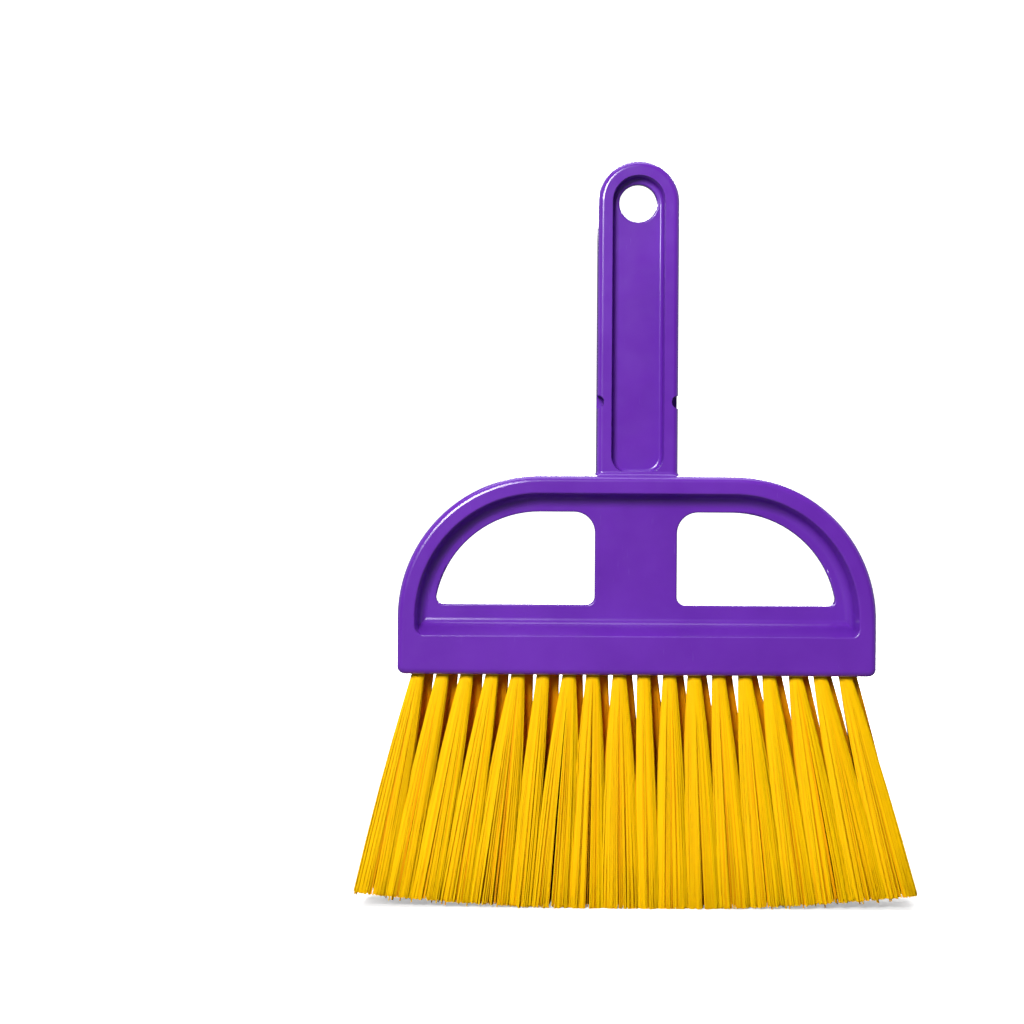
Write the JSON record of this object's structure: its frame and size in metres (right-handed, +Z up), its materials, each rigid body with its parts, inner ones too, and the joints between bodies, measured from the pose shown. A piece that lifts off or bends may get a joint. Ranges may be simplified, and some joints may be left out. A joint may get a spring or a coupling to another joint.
{
  "type": "hand broom",
  "caption": "Hand broom with a flat ribbed handle, a hang hole, an open D-shaped head and staggered rows of fanned bristle tufts, for sweeping small areas.",
  "frame": {"origin": "on the floor under the middle of the head, where the bristle tips stand", "axes": "+Z up along the handle, +X along the head to the right as seen from the front, -Y out of the front face, which has the catches in the handle's edges"},
  "size_m": [0.1884, 0.0272, 0.247],
  "materials": {
    "purple_polypropylene": "satin gloss, injection moulded",
    "yellow_filament": "satin, drawn filament",
    "anchor_wire": "bright flat wire"
  },
  "bodies": {
    "root": {"broom_body": "purple_polypropylene", "front_tuft_01": "yellow_filament", "front_tuft_02": "yellow_filament", "front_tuft_03": "yellow_filament", "front_tuft_04": "yellow_filament", "front_tuft_05": "yellow_filament", "front_tuft_06": "yellow_filament", "front_tuft_07": "yellow_filament", "front_tuft_08": "yellow_filament", "front_tuft_09": "yellow_filament", "front_tuft_10": "yellow_filament", "front_tuft_11": "yellow_filament", "front_tuft_12": "yellow_filament", "front_tuft_13": "yellow_filament", "front_tuft_14": "yellow_filament", "front_tuft_15": "yellow_filament", "front_tuft_16": "yellow_filament", "front_tuft_17": "yellow_filament", "front_tuft_18": "yellow_filament", "back_tuft_01": "yellow_filament", "back_tuft_02": "yellow_filament", "back_tuft_03": "yellow_filament", "back_tuft_04": "yellow_filament", "back_tuft_05": "yellow_filament", "back_tuft_06": "yellow_filament", "back_tuft_07": "yellow_filament", "back_tuft_08": "yellow_filament", "back_tuft_09": "yellow_filament", "back_tuft_10": "yellow_filament", "back_tuft_11": "yellow_filament", "back_tuft_12": "yellow_filament", "back_tuft_13": "yellow_filament", "back_tuft_14": "yellow_filament", "back_tuft_15": "yellow_filament", "back_tuft_16": "yellow_filament", "back_tuft_17": "yellow_filament", "back_tuft_18": "yellow_filament", "front_row_anchors": "anchor_wire", "back_row_anchors": "anchor_wire"}
  },
  "joints": []
}
